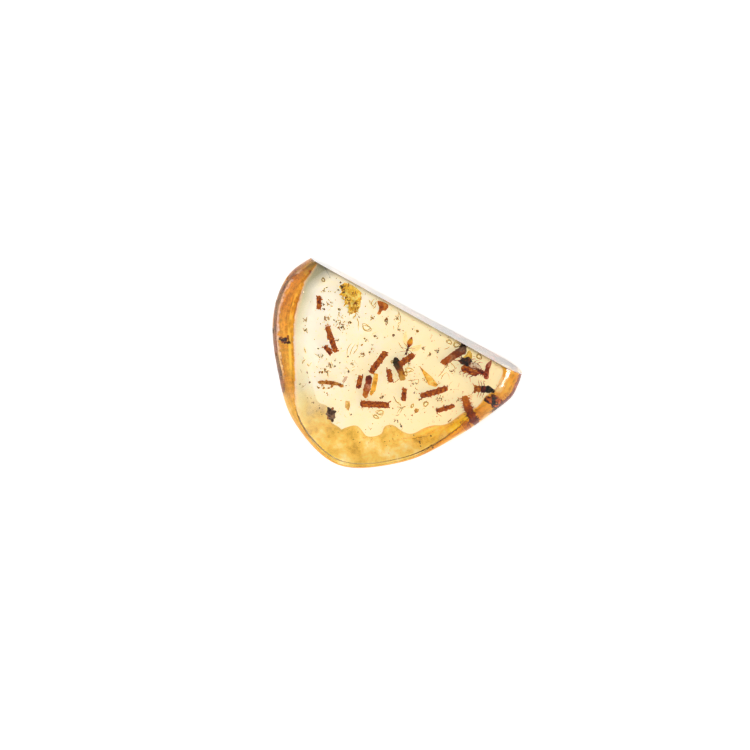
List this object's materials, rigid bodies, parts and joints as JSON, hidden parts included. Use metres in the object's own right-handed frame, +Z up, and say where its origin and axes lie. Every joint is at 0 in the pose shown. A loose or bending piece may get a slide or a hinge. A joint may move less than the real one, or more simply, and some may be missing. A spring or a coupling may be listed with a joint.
{
  "type": "insect in amber",
  "caption": "Half-oval slab of clear amber, sawn straight along one side, with small insects, frass pellets and plant scraps sealed in it.",
  "frame": {"origin": "middle of the slab's bounding box, on the surface that the slab lies on", "axes": "+X along the sawn side, +Y out of the sawn side, +Z up out of the polished front face"},
  "size_m": [0.0382, 0.0257, 0.0055],
  "materials": {
    "clear_amber": "polished",
    "frass": "granular",
    "insect_cuticle": "glossy",
    "dark_cuticle": "glossy",
    "leaf": "matt",
    "bark": "rough",
    "yellow_flake": "crumpled"
  },
  "bodies": {
    "root": {"amber_lower": "clear_amber", "amber_upper": "clear_amber", "winged_insect": "insect_cuticle", "beetle": "insect_cuticle", "bristly_insect": "insect_cuticle", "dark_insect": "dark_cuticle", "charred_twig": "dark_cuticle", "rim_bark": "dark_cuticle", "dark_seed": "dark_cuticle", "leaf_flake": "leaf", "seed_case": "bark", "splinter": "bark", "mottled_husk": "bark", "crumpled_flake": "yellow_flake", "red_grain": "frass", "pellet_1": "frass", "pellet_2": "frass", "pellet_3": "frass", "pellet_4": "frass", "pellet_5": "frass", "pellet_6": "frass", "pellet_7": "frass", "pellet_8": "frass", "pellet_9": "frass", "pellet_10": "frass", "pellet_11": "frass"}
  },
  "joints": []
}
